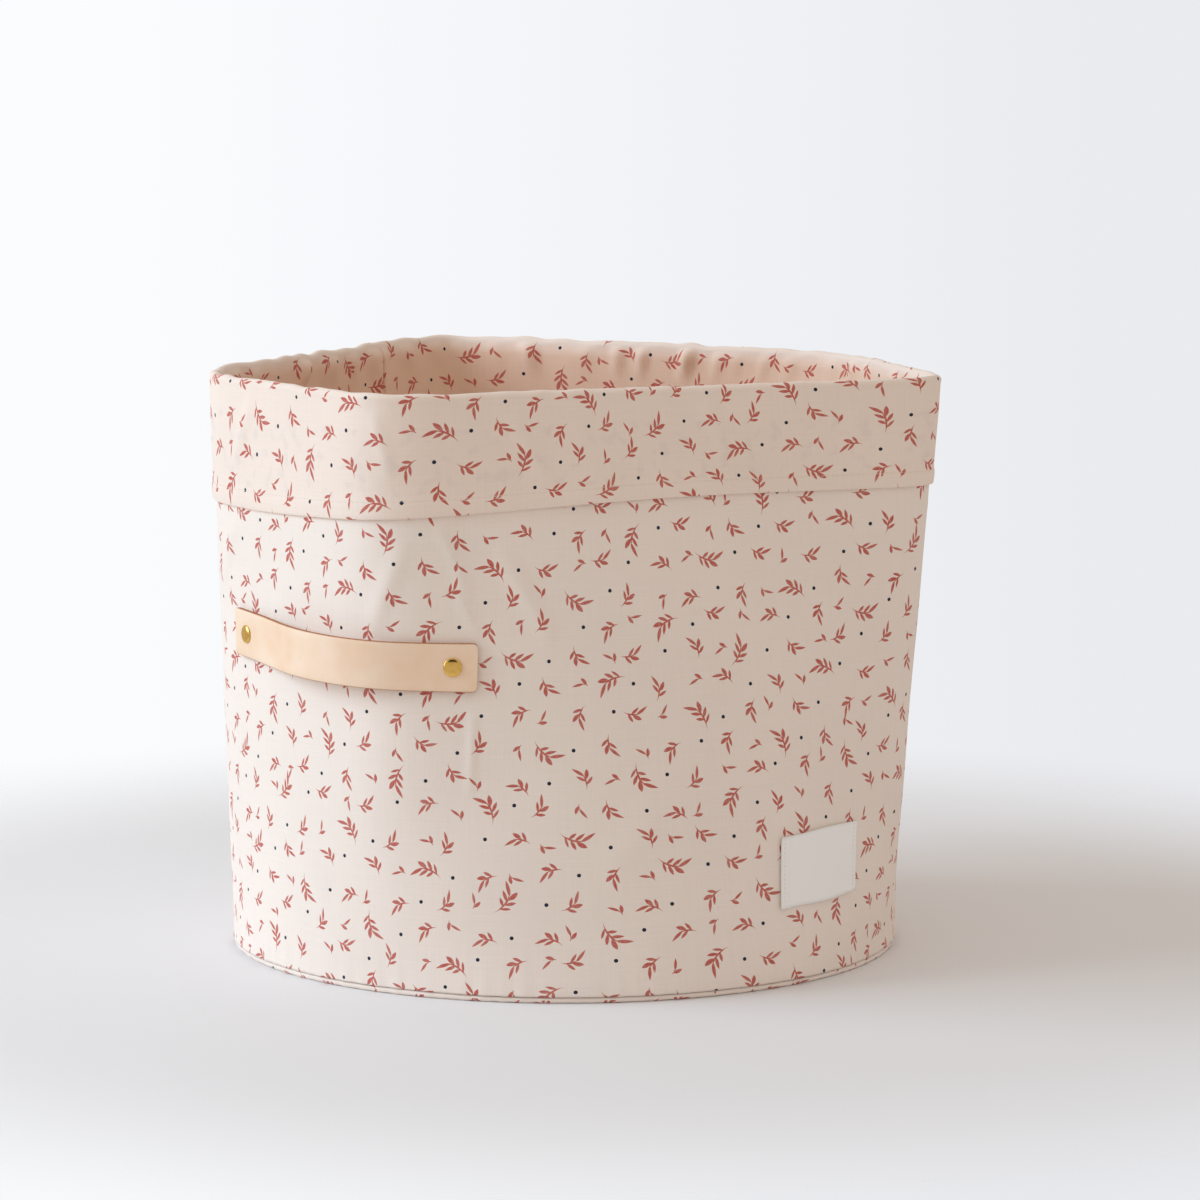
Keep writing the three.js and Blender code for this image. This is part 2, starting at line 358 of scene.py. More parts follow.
# The angles used here run from -180 to 180 degrees
def wallRelief(angle, z):
    swell = cloth["swell"] * (1 + sumWaves(wallWaves, angle, z * 6))
    folds = creaseRelief(creases, angle, z)
    underCuff = np.clip((0.272 - z) / 0.014, 0, 1)
    pucker = cloth["basePucker"] * (1 + sumWaves(baseWaves, angle)) * np.exp(-(z - 0.004) / 0.010)
    return pinned(angle, z) * underCuff * (swell + folds) + pucker


def seamGroove(angle, at, depth, halfWidth):
    gap = alongCloth(angle) - alongCloth(math.radians(at))
    return -depth * np.exp(-((gap / halfWidth) ** 2))


def columnAngles(*seams):
    even = np.linspace(-180, 180, cloth["columns"], endpoint=False)
    extra = [at + step for at in seams for step in (-0.9, -0.5, -0.26, -0.13, 0, 0.13, 0.26, 0.5, 0.9)]
    kept = [a for a in even if all(abs(a - e) > 0.07 for e in extra)]
    return np.radians(np.sort(np.array(kept + extra)))


# Cloth pieces

def wallCloth():
    angles = columnAngles(cloth["wallSeam"])
    levels = np.concatenate([
        [0.0036, 0.0048, 0.008, 0.011, 0.0145],
        np.linspace(0.019, 0.262, 56),
        np.linspace(0.270, 0.3262, 7),
    ])
    angle, z = np.meshgrid(angles, levels, indexing="ij")
    out = wallRelief(angle, z) + seamGroove(angle, cloth["wallSeam"], 0.0005, 0.0008)
    points = onWall(angle, z, out)
    ends = np.concatenate([angles, [angles[0] + 2 * math.pi]])
    around, up = np.meshgrid(alongCloth(ends), levels, indexing="ij")
    return sheetMesh("outer_wall_cloth", points, np.stack([around, up], axis=-1))


cuff = {
    "mean": 0.0636, "swing": 0.0055, "deepestAt": -115, "lift": 0.004, "liftedAt": -32, "tuck": 0.012,
    "hemHeight": 0.010, "stitchBelowTop": 0.0012,
}


# The cuff's depth changes round the bin: levels below the tuck stretch by a share of it
def cuffLevel(angle, z):
    depth = cuff["mean"] + cuff["swing"] * np.cos(angle - math.radians(cuff["deepestAt"]))
    depth = depth - cuff["lift"] * np.cos(2 * (angle - math.radians(cuff["liftedAt"])))
    stretch = (depth - cuff["tuck"]) / (cuff["mean"] - cuff["tuck"])
    below = np.maximum(0, wall["height"] - cuff["tuck"] - z)
    return z + below - below * stretch


def cuffRelief(angle, z):
    down = np.clip((0.326 - z) / cuff["mean"], 0, 1)
    swell = cloth["cuffSwell"] * (1 + sumWaves(cuffWaves, angle, z * 5))
    flare = cloth["cuffFlare"] * (0.6 + 0.4 * sumWaves(rimWaves, angle)) * down ** 2
    return swell * np.minimum(1, down * 4) + flare + creaseRelief(cuffCreases, angle, z)


# The path of the printed face, from the turned-under hem, up the cuff, over the rim and down inside.
# Each row: distance out, level, and which stretch of the path it is on.
def liningPath():
    bottom = wall["height"] - cuff["mean"]
    rows = [(0.0004, bottom + lift, "hem") for lift in (0.0088, 0.006, 0.003)]
    for degrees in (180, 225, 270, 315, 360):
        t = math.radians(degrees)
        rows.append((0.0012 + 0.0008 * math.cos(t), bottom + 0.0008 + 0.0008 * math.sin(t), "hem"))
    folded = ((0.0021, 0.003), (0.0022, 0.0055), (0.0021, 0.0075), (0.0017, 0.0088), (0.0016, 0.0098))
    for out, lift in folded:
        rows.append((out, bottom + lift, "hem"))
    for level in np.linspace(bottom + 0.0115, 0.3255, 26):
        rows.append((outside["cuff"], level, "cuff"))
    middle = (outside["cuff"] + outside["liningInner"]) / 2
    half = (outside["cuff"] - outside["liningInner"]) / 2
    for degrees in np.linspace(10, 170, 11):
        t = math.radians(degrees)
        rows.append((middle + (half + 0.0003) * math.cos(t), 0.3268 + 0.0034 * math.sin(t), "rim"))
    for level in np.linspace(0.3255, 0.292, 14):
        rows.append((outside["liningInner"], level, "inside"))
    for level in np.linspace(0.280, 0.0056, 17):
        rows.append((outside["liningInner"], level, "inside"))
    return rows


def liningCloth():
    angles = columnAngles(cloth["liningSeam"])
    rows = liningPath()
    points = np.empty((len(angles), len(rows), 3))
    rimLift = cloth["rimWave"] * sumWaves(rimWaves, angles)
    backShare = 0.5 - 0.5 * np.cos(angles)  # the back of the rim is looser
    patch = np.clip(0.9 + 0.9 * sumWaves(patchWaves, angles), 0.45, 1.3)
    gather = sumWaves(puckerWaves, angles)
    # the folds under the rim lean a little, more where the cloth is looser
    leaning = [gather]
    for j in range(1, 40):
        leaning.append(sumWaves(puckerWaves, angles + 0.0022 * j * np.sin(3 * angles)))
    walked = np.zeros(len(rows))
    for j, (out, level, part) in enumerate(rows):
        z = level + 0 * angles
        fade = np.clip((level - 0.285) / 0.043, 0, 1)
        if part in ("hem", "cuff"):
            z = cuffLevel(angles, z)
            move = cuffRelief(angles, z)
        elif part == "rim":
            move = 0.0003 * sumWaves(puckerWaves, angles)
        else:
            below = 0.327 - level
            step = min(39, max(0, int(below / 0.0013)))
            fold = cloth["rimPucker"] * np.clip(leaning[step] + 0.08, 0, 1) * patch
            move = -fold * np.exp(-((below - 0.006) / 0.0095) ** 2) * (0.35 + 0.65 * backShare)
            slack = 0.0006 * (1 + sumWaves(wallWaves, angles, z * 5)) * np.clip(below / 0.03, 0, 1)
            slack += 0.0011 * min(1, below / 0.004)  # clear of the stiffener's corners
            pressed = 0.0004 * min(1, below / 0.004)  # under the washers the lining lies close
            move -= pressed + (slack - pressed) * pinned(angles, z)
            gap = alongCloth(angles) - alongCloth(math.radians(cloth["liningSeam"]))
            valley = np.exp(-((gap / 0.0065) ** 2)) - np.exp(-((gap / 0.0007) ** 2))
            move -= 0.0030 * valley * min(1, below / 0.003)
        lift = (rimLift + 0.0005 * backShare * gather * patch) * (0.5 + 0.8 * backShare) * fade
        points[:, j] = onWall(angles, z + 0, out + move)
        points[:, j, 2] += lift
        if j:
            walked[j] = walked[j - 1] + np.linalg.norm(points[:, j] - points[:, j - 1], axis=1).mean()
    ends = np.concatenate([angles, [angles[0] + 2 * math.pi]])
    around, along = np.meshgrid(alongCloth(ends) + 0.31, walked, indexing="ij")
    mesh = sheetMesh("lining_and_cuff_cloth", points, np.stack([around, along], axis=-1))
    # how much of the row lies doubled on the outside, and how much painted warm shade it gets: full a little
    # way down inside the bin, less near the rim, and a little on the rim, cuff and hem
    doubled = [1.0 if part == "cuff" and level < 0.312 else 0.0 for out, level, part in rows]
    paintedWarmShade = [min(1.0, (0.332 - level) / 0.012) if part == "inside" else 0.24
                 for out, level, part in rows]
    for attributeName, values in (("doubled", doubled), ("paintedWarmShade", paintedWarmShade)):
        attribute = mesh.attributes.new(attributeName, "FLOAT", "POINT")
        attribute.data.foreach_set("value", np.tile(values, len(angles)).astype(np.float32))
    return mesh, walked[-1]


def disc(name, radius, level, facing):
    turns, rings = 144, 14
    angle, radial = np.meshgrid(np.linspace(0, 2 * math.pi, turns, endpoint=False),
                                np.linspace(0.004, radius, rings), indexing="ij")
    puff = 0.0004 * np.cos(radial / radius * math.pi * 3) * np.cos(3 * angle) * (radial / radius)
    puff = puff - 0.0003 * np.exp(-((radius - radial) / 0.004) ** 2)
    points = np.stack([radial * np.sin(angle), -radial * np.cos(angle), level + puff * facing], axis=-1)
    cut = points[..., :2]
    cut = np.concatenate([cut, cut[:1]])
    mesh = sheetMesh(name, points, cut)
    bm = bmesh.new()
    bm.from_mesh(mesh)
    holes = [edge for edge in bm.edges
             if edge.is_boundary and max(v.co.xy.length for v in edge.verts) < 0.01]
    bmesh.ops.holes_fill(bm, edges=holes)
    bmesh.ops.recalc_face_normals(bm, faces=bm.faces)
    if sum(face.normal.z for face in bm.faces) * facing < 0:
        bmesh.ops.reverse_faces(bm, faces=bm.faces)
    bm.to_mesh(mesh)
    bm.free()
    mesh.shade_smooth()
    return mesh


roll = {"radius": 0.0017, "inset": 0.0010, "level": 0.0018, "gather": 0.00015}


# The rolled seam between wall and base
def seamRoll():
    angles = np.radians(np.linspace(-180, 180, 720, endpoint=False))
    rings = np.radians(np.linspace(0, -360, 12, endpoint=False))
    angle, ring = np.meshgrid(angles, rings, indexing="ij")
    radius = roll["radius"] + roll["gather"] * (sumWaves(baseWaves, angle) + 0.4 * np.cos(170 * angle))
    level = roll["level"] + radius * np.sin(ring)
    points = onWall(angle, np.maximum(level, 0.0001), radius * np.cos(ring) - roll["inset"])
    points = np.concatenate([points, points[:, :1]], axis=1)
    ends = np.concatenate([angles, [angles[0] + 2 * math.pi]])
    around, up = np.meshgrid(alongCloth(ends), np.linspace(0, 0.012, 13), indexing="ij")
    mesh = sheetMesh("base_seam_roll_cloth", points, np.stack([around, up], axis=-1))
    return faceOut(mesh, merge=1e-6)


# The printed pattern: a tossed leaf sprig of our own and small dots

sprig = {
    "cell": 0.0166,       # one motif in each
    "randomness": 0.46,
    "dotRadius": 0.00105,
    "lengths": (0.84, 1.12),  # of the drawn sprig, in cells: smallest and largest
}
# Pairs of leaves up the stalk, and the stalk itself: where it starts, its lean, its size,
# and the smallest sprig that has it (0 small, 1 medium, 2 large)
sprigParts = [
    (0.10, 31, 0.40, 0.125, 0),
    (-0.07, 47, 0.34, 0.100, 1),
    (-0.24, 53, 0.29, 0.085, 2),
    (0.03, 0, 0.14, 0.060, 0),
    (-0.24, 0, 0.46, 0.058, 1),
    (-0.42, 0, 0.64, 0.056, 2),
]


def makeSprigGroup():
    group = newGroup("leaf sprig", "ShaderNodeTree",
                     [("Place", "NodeSocketVector"), ("Size", "NodeSocketFloat")],
                     [("Ink", "NodeSocketFloat")])
    ins = addNode(group, "NodeGroupInput")
    size = ins.outputs["Size"]
    axes = addNode(group, "ShaderNodeSeparateXYZ", [ins.outputs["Place"]])
    x, y = axes.outputs[0], axes.outputs[1]
    ySquared = addNode(group, "ShaderNodeMath", [y, y], operation="MULTIPLY")
    # a stalk with a bow
    bent = addNode(group, "ShaderNodeMath", [ySquared, 0.62, x], operation="MULTIPLY_ADD")
    side = addNode(group, "ShaderNodeMath", [bent], operation="SIGN")
    staggered = addNode(group, "ShaderNodeMath", [side, 0.06, y], operation="MULTIPLY_ADD")
    reach = addNode(group, "ShaderNodeMath", [bent], operation="ABSOLUTE")
    mirrored = addNode(group, "ShaderNodeCombineXYZ", [reach, staggered])
    nearest = None
    for start, lean, length, width, smallest in sprigParts:
        turned = addNode(group, "ShaderNodeMapping", {
            "Vector": mirrored,
            "Location": (0, start, 0),
            "Rotation": (0, 0, -math.radians(lean)),
            "Scale": (width, length, 1),
        }, vector_type="TEXTURE")
        leaf = addNode(group, "ShaderNodeSeparateXYZ", [turned])
        along = leaf.outputs[1]
        squared = addNode(group, "ShaderNodeMath", [along, along], operation="MULTIPLY")
        belly = addNode(group, "ShaderNodeMath", [along, squared], operation="SUBTRACT")
        across = addNode(group, "ShaderNodeMath", [leaf.outputs[0]], operation="ABSOLUTE")
        edge = addNode(group, "ShaderNodeMath", [belly, -2.0, across], operation="MULTIPLY_ADD")
        if smallest:
            missing = addNode(group, "ShaderNodeMath", [size, smallest - 0.5], operation="LESS_THAN")
            edge = addNode(group, "ShaderNodeMath", [edge, missing], operation="ADD")
        if nearest is None:
            nearest = edge
        else:
            nearest = addNode(group, "ShaderNodeMath", [nearest, edge], operation="MINIMUM")
    ink = addNode(group, "ShaderNodeMapRange", {
        "Value": nearest, "From Min": 0.05, "From Max": -0.05, "To Min": 0.0, "To Max": 1.0,
    })
    addNode(group, "NodeGroupOutput", [ink])
    return group


def makePrintGroup():
    sprigGroup = makeSprigGroup()
    group = newGroup("tossed sprigs and dots", "ShaderNodeTree",
                     [("Place", "NodeSocketVector")],
                     [("Leaves", "NodeSocketFloat"), ("Dots", "NodeSocketFloat")])
    ins = addNode(group, "NodeGroupInput")
    place = addNode(group, "ShaderNodeVectorMath", {0: ins.outputs["Place"], "Scale": 1 / sprig["cell"]},
                    operation="SCALE")
    leaves, dots = None, None
    for feature in ("F1", "F2"):
        near = addNode(group, "ShaderNodeTexVoronoi", {
            "Vector": place, "Scale": 1.0, "Randomness": sprig["randomness"],
        }, voronoi_dimensions="2D", feature=feature)
        centre = near.outputs["Position"]
        chance = addNode(group, "ShaderNodeSeparateColor", [near.outputs["Color"]])
        # the motifs take turns from cell to cell: dot, medium, small, medium, dot, medium, small, large
        cellPlace = addNode(group, "ShaderNodeVectorMath", [centre], operation="FLOOR")
        cell = addNode(group, "ShaderNodeSeparateXYZ", [cellPlace])
        order = addNode(group, "ShaderNodeMath", [cell.outputs[1], 3.0, cell.outputs[0]],
                        operation="MULTIPLY_ADD")
        inEight = addNode(group, "ShaderNodeMath", [order, 8.0], operation="FLOORED_MODULO")
        inFour = addNode(group, "ShaderNodeMath", [order, 4.0], operation="FLOORED_MODULO")
        isDot = addNode(group, "ShaderNodeMath", [inFour, 0.5], operation="LESS_THAN")
        fromSmall = addNode(group, "ShaderNodeMath", [inFour, 2.0], operation="SUBTRACT")
        plainSize = addNode(group, "ShaderNodeMath", [fromSmall], operation="ABSOLUTE")
        isLarge = addNode(group, "ShaderNodeMath", [inEight, 6.5], operation="GREATER_THAN")
        size = addNode(group, "ShaderNodeMath", [plainSize, isLarge], operation="ADD")
        small, large = sprig["lengths"]
        length = addNode(group, "ShaderNodeMath", [size, (large - small) / 2, small],
                         operation="MULTIPLY_ADD")
        inverse = addNode(group, "ShaderNodeMath", [1.0, length], operation="DIVIDE")
        away = addNode(group, "ShaderNodeVectorMath", [place, centre], operation="SUBTRACT")
        spin = addNode(group, "ShaderNodeMath", [chance.outputs[0], 2 * math.pi], operation="MULTIPLY")
        turned = addNode(group, "ShaderNodeVectorRotate", {"Vector": away, "Angle": spin},
                         rotation_type="Z_AXIS")
        scaled = addNode(group, "ShaderNodeVectorMath", {0: turned, "Scale": inverse}, operation="SCALE")
        rise = addNode(group, "ShaderNodeMath", [size, -0.11, 0.24], operation="MULTIPLY_ADD")
        lifted = addNode(group, "ShaderNodeCombineXYZ", [0.0, rise])
        centred = addNode(group, "ShaderNodeVectorMath", [scaled, lifted], operation="ADD")
        drawn = addNode(group, "ShaderNodeGroup", {"Place": centred, "Size": size}, node_tree=sprigGroup)
        notDot = addNode(group, "ShaderNodeMath", [1.0, isDot], operation="SUBTRACT")
        ink = addNode(group, "ShaderNodeMath", [drawn, notDot], operation="MULTIPLY")
        distance = addNode(group, "ShaderNodeVectorMath", [away], operation="LENGTH")
        dotEdge = sprig["dotRadius"] / sprig["cell"]
        disc = addNode(group, "ShaderNodeMapRange", {
            "Value": distance.outputs["Value"], "From Min": dotEdge * 1.06, "From Max": dotEdge * 0.94,
        })
        dot = addNode(group, "ShaderNodeMath", [disc, isDot], operation="MULTIPLY")
        if leaves is None:
            leaves, dots = ink, dot
        else:
            leaves = addNode(group, "ShaderNodeMath", [leaves, ink], operation="MAXIMUM")
            dots = addNode(group, "ShaderNodeMath", [dots, dot], operation="MAXIMUM")
    addNode(group, "NodeGroupOutput", [leaves, dots])
    return group


printGroup = makePrintGroup()


# Materials

# Plain-woven cotton, pigment printed: dull and soft, with faint thicker threads both ways
def printedCottonMaterial(name, ground, inner, ghostTone, leaf, dot, threadPitch=0.0009):
    material, tree, shader = newMaterial(name)
    place = addNode(tree, "ShaderNodeUVMap", uv_map="cloth")
    printed = addNode(tree, "ShaderNodeGroup", {"Place": place}, node_tree=printGroup)
    # slubs: threads about 0.7 mm apart that stay thick for some 40 mm, drawn a little coarser than real
    warpPlace = addNode(tree, "ShaderNodeMapping", {"Vector": place, "Scale": (1300, 26, 1)})
    weftPlace = addNode(tree, "ShaderNodeMapping", {"Vector": place, "Scale": (26, 1300, 1)})
    warp = addNode(tree, "ShaderNodeTexNoise", {"Vector": warpPlace, "Scale": 1.0, "Detail": 2.0},
                   noise_dimensions="2D")
    weft = addNode(tree, "ShaderNodeTexNoise", {"Vector": weftPlace, "Scale": 1.0, "Detail": 2.0},
                   noise_dimensions="2D")
    slubs = addNode(tree, "ShaderNodeMath", [warp, weft], operation="ADD")
    broad = addNode(tree, "ShaderNodeTexNoise", {"Vector": place, "Scale": 14.0, "Detail": 2.0},
                    noise_dimensions="2D")
    tone = addNode(tree, "ShaderNodeMath", [slubs, 0.06, -0.06], operation="MULTIPLY_ADD")
    toneBroad = addNode(tree, "ShaderNodeMath", [broad, 0.05, tone], operation="MULTIPLY_ADD")
    value = addNode(tree, "ShaderNodeMath", [toneBroad, 0.975], operation="ADD")
    # the layer behind shows faintly through the cuff; the ground is painted darker and warmer inside the bin,
    # and a little on the cuff, as painted shade and bounce light
    behind = addNode(tree, "ShaderNodeAttribute", attribute_name="doubled").outputs["Fac"]
    paintedWarmShade = addNode(tree, "ShaderNodeAttribute", attribute_name="paintedWarmShade").outputs["Fac"]
    ghost = addNode(tree, "ShaderNodeTexNoise", {"Vector": place, "Scale": 120.0, "Detail": 1.0},
                    noise_dimensions="2D")
    ghostShare = addNode(tree, "ShaderNodeMapRange", {
        "Value": ghost, "From Min": 0.55, "From Max": 0.75, "To Min": 0.0, "To Max": 0.22,
    })
    ghostly = addNode(tree, "ShaderNodeMath", [ghostShare, behind], operation="MULTIPLY")
    # painted shade and bounce light: the ground mixes towards the second, warmer and darker tone by the
    # painted warm shade attribute
    paintedShadeGround = addNode(tree, "ShaderNodeMix", {0: paintedWarmShade, 6: sRgb(ground), 7: sRgb(inner)},
                     data_type="RGBA")
    ghosted = addNode(tree, "ShaderNodeMix", {0: ghostly, 6: paintedShadeGround.outputs[2], 7: sRgb(ghostTone)},
                      data_type="RGBA")
    groundColour = addNode(tree, "ShaderNodeMix", {0: 1.0, 6: ghosted.outputs[2], 7: value},
                           data_type="RGBA", blend_type="MULTIPLY")
    # pigment sits a little unevenly on the threads
    patchy = addNode(tree, "ShaderNodeMapRange", {
        "Value": slubs, "From Min": 0.7, "From Max": 1.2, "To Min": 0.84, "To Max": 1.0,
    })
    leafInk = addNode(tree, "ShaderNodeMath", [printed.outputs["Leaves"], patchy], operation="MULTIPLY")
    leafed = addNode(tree, "ShaderNodeMix", {0: leafInk, 6: groundColour.outputs[2], 7: sRgb(leaf)},
                     data_type="RGBA")
    dotted = addNode(tree, "ShaderNodeMix", {
        0: printed.outputs["Dots"], 6: leafed.outputs[2], 7: sRgb(dot),
    }, data_type="RGBA")
    # over and under of the threads, 0.45 mm on real cotton and drawn at about 1 mm so that it shows
    threads = addNode(tree, "ShaderNodeVectorMath", {0: place, "Scale": math.pi / threadPitch},
                      operation="SCALE")
    both = addNode(tree, "ShaderNodeSeparateXYZ", [threads])
    across = addNode(tree, "ShaderNodeMath", [both.outputs[0]], operation="SINE")
    upward = addNode(tree, "ShaderNodeMath", [both.outputs[1]], operation="SINE")
    crossing = addNode(tree, "ShaderNodeMath", [across, upward], operation="MULTIPLY")
    weave = addNode(tree, "ShaderNodeMath", [crossing, 0.25, slubs], operation="MULTIPLY_ADD")
    dress(tree, shader, dotted, weave, 0.35, 0.00012, slubs, 0.86, 0.96, span=(0.6, 1.4))
    shader.inputs["Sheen Weight"].default_value = 0.12
    shader.inputs["Sheen Roughness"].default_value = 0.5
    shader.inputs["Specular IOR Level"].default_value = 0.25
    return material


# Vegetable-tanned leather, undyed: smooth and warm, a faint pore grain, and raw edges that have darkened
def leatherMaterial(name, face, worn, rawEdge):
    material, tree, shader = newMaterial(name)
    place = addNode(tree, "ShaderNodeTexCoord").outputs["Object"]
    clouds = addNode(tree, "ShaderNodeTexNoise", {"Vector": place, "Scale": 38.0, "Detail": 4.0})
    fine = addNode(tree, "ShaderNodeTexNoise", {"Vector": place, "Scale": 700.0, "Detail": 3.0})
    pores = addNode(tree, "ShaderNodeTexVoronoi", {"Vector": place, "Scale": 900.0}, feature="F1")
    cloudShare = addNode(tree, "ShaderNodeMapRange", {"Value": clouds, "From Min": 0.35, "From Max": 0.7})
    faceColour = addNode(tree, "ShaderNodeMix", {0: cloudShare, 6: sRgb(face), 7: sRgb(worn)},
                         data_type="RGBA")
    edge = addNode(tree, "ShaderNodeAttribute", attribute_name="rawEdge").outputs["Fac"]
    frayed = addNode(tree, "ShaderNodeMath", [fine, 0.5, 0.75], operation="MULTIPLY_ADD")
    edgeShare = addNode(tree, "ShaderNodeMath", [edge, frayed], operation="MULTIPLY", use_clamp=True)
    colour = addNode(tree, "ShaderNodeMix", {0: edgeShare, 6: faceColour.outputs[2], 7: sRgb(rawEdge)},
                     data_type="RGBA")
    grain = addNode(tree, "ShaderNodeMath", [pores.outputs["Distance"], 0.5, fine], operation="MULTIPLY_ADD")
    dress(tree, shader, colour, grain, 0.25, 0.00012, fine, 0.48, 0.66)
    shader.inputs["Specular IOR Level"].default_value = 0.4
    return material


# Stamped brass, polished: warm yellow mirror with fine handling marks
def brassMaterial(name, colour, duller):
    material, tree, shader = newMaterial(name)
    place = addNode(tree, "ShaderNodeTexCoord").outputs["Object"]
    marks = addNode(tree, "ShaderNodeTexNoise", {"Vector": place, "Scale": 420.0, "Detail": 4.0})
    share = addNode(tree, "ShaderNodeMapRange", {"Value": marks, "From Min": 0.4, "From Max": 0.8})
    tint = addNode(tree, "ShaderNodeMix", {0: share, 6: sRgb(colour), 7: sRgb(duller)}, data_type="RGBA")
    dress(tree, shader, tint, marks, 0.04, 0.00005, marks, 0.12, 0.22)
    shader.inputs["Metallic"].default_value = 1.0
    return material


# Woven cotton tape: ribs across it, soft and matt
def tapeMaterial(name, colour, ribColour):
    material, tree, shader = newMaterial(name)
    place = addNode(tree, "ShaderNodeUVMap", uv_map="cloth")
    # ribs 0.5 mm apart on real tape, drawn at 0.8 mm
    ribs = addNode(tree, "ShaderNodeTexWave", {
        "Vector": place, "Scale": 392.0, "Distortion": 0.4, "Detail": 1.0,
    }, wave_type="BANDS", bands_direction="Y")
    fuzz = addNode(tree, "ShaderNodeTexNoise", {"Vector": place, "Scale": 900.0, "Detail": 3.0})
    height = addNode(tree, "ShaderNodeMath", [fuzz, 0.6, ribs], operation="MULTIPLY_ADD")
    share = addNode(tree, "ShaderNodeMath", [ribs, 0.35], operation="MULTIPLY")
    tint = addNode(tree, "ShaderNodeMix", {0: share, 6: sRgb(colour), 7: sRgb(ribColour)}, data_type="RGBA")
    dress(tree, shader, tint, height, 0.3, 0.0001, fuzz, 0.82, 0.95)
    shader.inputs["Sheen Weight"].default_value = 0.1
    return material


# Spun cotton thread: dull, with a slight twist that catches the light in steps
def threadMaterial(name, colour, shade):
    material, tree, shader = newMaterial(name)
    place = addNode(tree, "ShaderNodeTexCoord").outputs["Object"]
    twist = addNode(tree, "ShaderNodeTexNoise", {"Vector": place, "Scale": 2400.0, "Detail": 2.0})
    tint = addNode(tree, "ShaderNodeMix", {0: twist, 6: sRgb(colour), 7: sRgb(shade)}, data_type="RGBA")
    dress(tree, shader, tint, twist, 0.3, 0.00005, twist, 0.7, 0.9)
    return material


# Pressed fibre sheet: matt, flecked with short fibres
def boardMaterial(name, colour, fleck):
    material, tree, shader = newMaterial(name)
    place = addNode(tree, "ShaderNodeTexCoord").outputs["Object"]
    stretched = addNode(tree, "ShaderNodeMapping", {"Vector": place, "Scale": (900, 900, 260)})
    fibres = addNode(tree, "ShaderNodeTexNoise", {"Vector": stretched, "Scale": 1.0, "Detail": 3.0})
    share = addNode(tree, "ShaderNodeMapRange", {"Value": fibres, "From Min": 0.5, "From Max": 0.75})
    tint = addNode(tree, "ShaderNodeMix", {0: share, 6: sRgb(colour), 7: sRgb(fleck)}, data_type="RGBA")
    dress(tree, shader, tint, fibres, 0.3, 0.0002, fibres, 0.82, 0.96)
    return material


# the second colour is painted warm shade and bounce light, used inside the bin and a little on the cuff
printedCotton = printedCottonMaterial(
    "printed plain-woven cotton", "#F1E3D8", "#EDCDB5", "#CFC4C3", "#C05E52", "#262D3E",
)
vegetableLeather = leatherMaterial("vegetable-tanned leather, undyed", "#F6DAC0", "#F0CBA8", "#A4602A")
polishedBrass = brassMaterial("stamped brass, polished", "#EBC26C", "#DFB25C")
wovenTape = tapeMaterial("woven cotton tape", "#FBF9F6", "#F1EEEA")
cottonThread = threadMaterial("spun cotton thread", "#F0E3D8", "#E2D1C3")
fibreBoard = boardMaterial("pressed fibre board", "#D8D2C6", "#B7AE9D")
print("materials made")


# Make the cloth

def thicken(piece):
    solid = piece.modifiers.new("cloth thickness", "SOLIDIFY")
    solid.thickness = cloth["thickness"]
    solid.offset = -1
    solid.use_even_offset = False
    return settle(piece)


outerWall = thicken(toPiece("outer_wall_cloth", wallCloth(), printedCotton))
liningMesh, liningLength = liningCloth()
lining = thicken(toPiece("lining_and_cuff_cloth", liningMesh, printedCotton))
bases = {"outerRadius": 0.1872, "outerLevel": 0.0006, "innerRadius": 0.1848, "innerLevel": 0.0056}
outerDisc = disc("outer_base_cloth", bases["outerRadius"], bases["outerLevel"], -1)
outerBase = thicken(toPiece("outer_base_cloth", outerDisc, printedCotton))
innerDisc = disc("lining_base_cloth", bases["innerRadius"], bases["innerLevel"], 1)
liningBase = thicken(toPiece("lining_base_cloth", innerDisc, printedCotton))
baseRoll = toPiece("base_seam_roll_cloth", seamRoll(), printedCotton)
print("cloth made, lining strip", round(liningLength, 4), "m")


# Label

label = {"angle": 3, "height": 0.0636, "width": 0.061, "tall": 0.0394, "lean": 0.12, "tilt": 0.037,
         "fold": 0.006, "thickness": 0.0006, "gap": 0.0004, "curl": 0.0004,
         "foldedUp": 0.0007, "pinch": 0.0004, "seamInset": 0.0025, "cornerLift": 0.0005}


def onCloth(angle, z, out):
    return onWall(angle, z, wallRelief(angle, z) + out)


# The angle and the level where a spot of the label lies
def labelPlace(s, h):
    angle = walkAlongWall(math.radians(label["angle"]), s + label["lean"] * h, np.float64(label["height"]))
    return angle, label["height"] + h + label["tilt"] * s


# A tape with both ends folded under and sewn down, slightly proud between the two seams
def labelMesh():
    across = np.linspace(-label["width"] / 2, label["width"] / 2, 45)
    up = np.linspace(-label["tall"] / 2, label["tall"] / 2, 19)
    s, h = np.meshgrid(across, up, indexing="ij")
    fromEnd = label["width"] / 2 - np.abs(s)
    fold = label["foldedUp"] * np.clip((label["fold"] - fromEnd) / 0.0012 + 0.5, 0, 1)
    pinch = label["pinch"] * np.exp(-((fromEnd - label["seamInset"]) / 0.0011) ** 2)
    ripple = label["curl"] * np.clip(fromEnd / 0.02, 0, 1) * (0.5 + 0.5 * np.sin(s * 95 + h * 40 + 0.7))
    corner = label["cornerLift"] * (2 * np.abs(h) / label["tall"]) ** 4
    out = label["gap"] + label["thickness"] + fold - pinch + ripple + corner
    angles, levels = labelPlace(s, h)
    edgeWave = 0.00035 * np.sin(s * 120 + 1) * (2 * h / label["tall"])
    points = onCloth(angles, levels + edgeWave, out)
    return sheetMesh("side_label_tape", points, np.stack([s, h], axis=-1), closed=False)


labelPiece = toPiece("side_label_tape", labelMesh(), wovenTape)
labelSolid = labelPiece.modifiers.new("tape thickness", "SOLIDIFY")
labelSolid.thickness = label["thickness"]
labelSolid.offset = -1
settle(labelPiece)


# Leather straps

